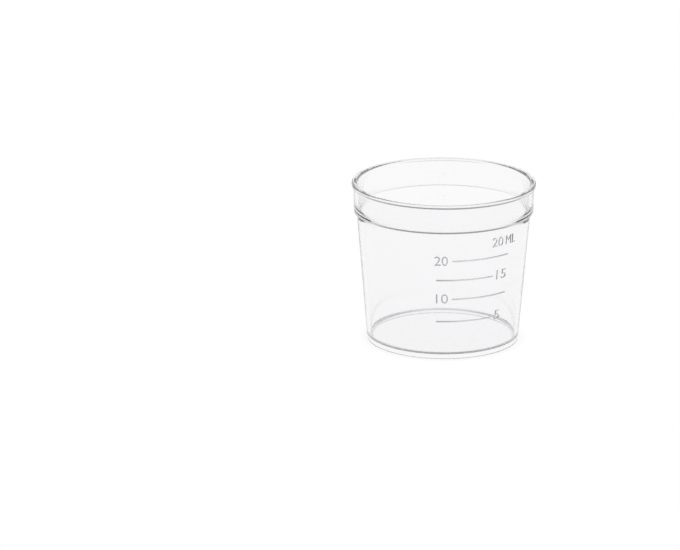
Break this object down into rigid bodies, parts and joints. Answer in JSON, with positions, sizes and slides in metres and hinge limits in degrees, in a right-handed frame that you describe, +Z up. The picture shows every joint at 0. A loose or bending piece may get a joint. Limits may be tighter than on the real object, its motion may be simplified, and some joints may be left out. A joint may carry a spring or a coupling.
{
  "type": "medicine cup",
  "caption": "Small clear plastic medicine cup with a stepped collar, a proud rim, a tapered body and a raised volume scale on its outside.",
  "frame": {"origin": "centre of the foot, in the plane that the cup stands on", "axes": "+Z up along the cup's axis to its mouth; the volume scale starts near -Y, the front, and runs round towards +X"},
  "size_m": [0.0424, 0.0424, 0.0375],
  "materials": {
    "clear_plastic": "clear, glossy, as moulded"
  },
  "bodies": {
    "root": {"cup": "clear_plastic"}
  },
  "joints": []
}
